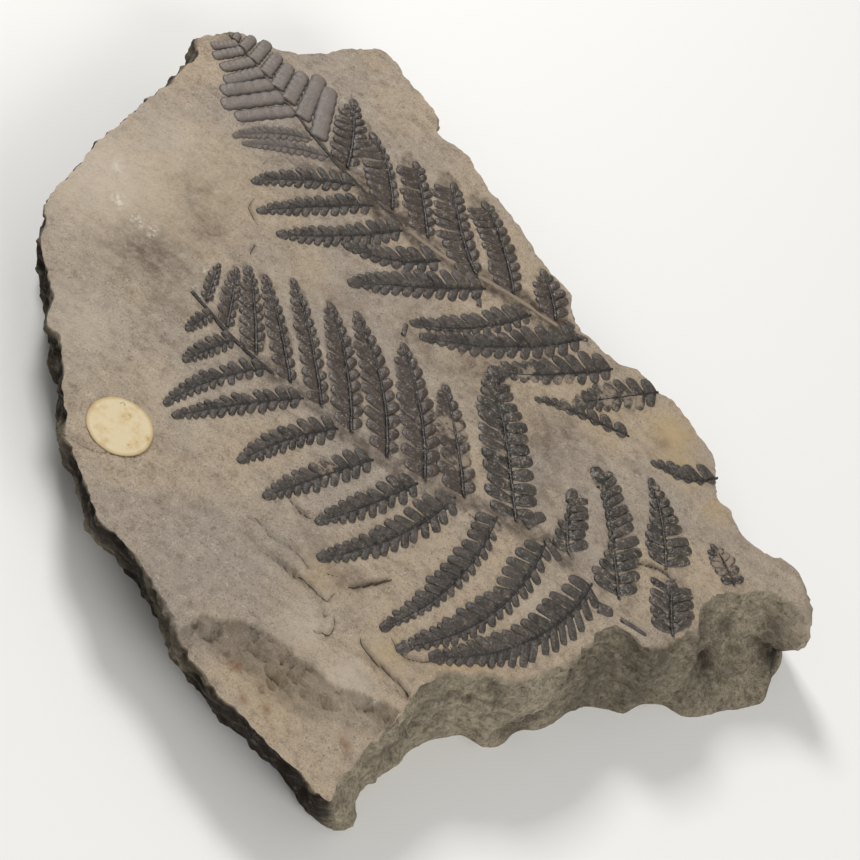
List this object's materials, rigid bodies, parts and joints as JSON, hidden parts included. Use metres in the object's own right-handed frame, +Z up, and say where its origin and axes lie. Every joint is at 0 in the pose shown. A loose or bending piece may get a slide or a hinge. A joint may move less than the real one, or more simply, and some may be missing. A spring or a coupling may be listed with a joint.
{
  "type": "fossil fern plate",
  "caption": "Broken siltstone slab with two dark carbonised fern fronds on its upper bedding plane and a blank round paper label.",
  "frame": {"origin": "centre of the bounding box on the flat underside that the plate lies on", "axes": "+Z up, square to the fern face; +X along the fronds from their tips to their bases; +Y across the fronds, away from the labelled corner"},
  "size_m": [0.2788, 0.2631, 0.0313],
  "materials": {
    "siltstone": "dull split bedding plane, rough broken edges",
    "carbon_film": "dark satin coaly film",
    "label_paper": "aged matt paper"
  },
  "bodies": {
    "root": {"loose_pinnule_01": "carbon_film", "loose_pinnule_02": "carbon_film", "middle_frond_rachis": "carbon_film", "middle_left_pinna_01": "carbon_film", "middle_left_pinna_02": "carbon_film", "middle_left_pinna_03": "carbon_film", "middle_left_pinna_04": "carbon_film", "middle_left_pinna_05": "carbon_film", "middle_left_pinna_06": "carbon_film", "middle_left_pinna_07": "carbon_film", "middle_left_pinna_08": "carbon_film", "middle_left_pinna_09": "carbon_film", "middle_left_pinna_10": "carbon_film", "middle_left_pinna_11": "carbon_film", "middle_right_pinna_01": "carbon_film", "middle_right_pinna_02": "carbon_film", "middle_right_pinna_03": "carbon_film", "middle_right_pinna_04": "carbon_film", "middle_right_pinna_05": "carbon_film", "middle_right_pinna_06": "carbon_film", "middle_right_pinna_07": "carbon_film", "middle_right_pinna_08": "carbon_film", "middle_right_pinna_09": "carbon_film", "middle_right_pinna_10": "carbon_film", "middle_right_pinna_11": "carbon_film", "middle_right_pinna_12": "carbon_film", "middle_right_pinna_13": "carbon_film", "middle_right_pinna_14": "carbon_film", "middle_right_pinna_15": "carbon_film", "paper_label": "label_paper", "rock_slab": "siltstone", "upper_frond_rachis": "carbon_film", "upper_frond_tip": "carbon_film", "upper_left_pinna_01": "carbon_film", "upper_left_pinna_02": "carbon_film", "upper_left_pinna_03": "carbon_film", "upper_left_pinna_04": "carbon_film", "upper_left_pinna_05": "carbon_film", "upper_left_pinna_06": "carbon_film", "upper_left_pinna_07": "carbon_film", "upper_left_pinna_08": "carbon_film", "upper_left_pinna_09": "carbon_film", "upper_left_pinna_10": "carbon_film", "upper_left_pinna_11": "carbon_film", "upper_left_pinna_12": "carbon_film", "upper_left_pinna_13": "carbon_film", "upper_right_pinna_01": "carbon_film", "upper_right_pinna_02": "carbon_film", "upper_right_pinna_03": "carbon_film", "upper_right_pinna_04": "carbon_film", "upper_right_pinna_05": "carbon_film", "upper_right_pinna_06": "carbon_film"}
  },
  "joints": []
}
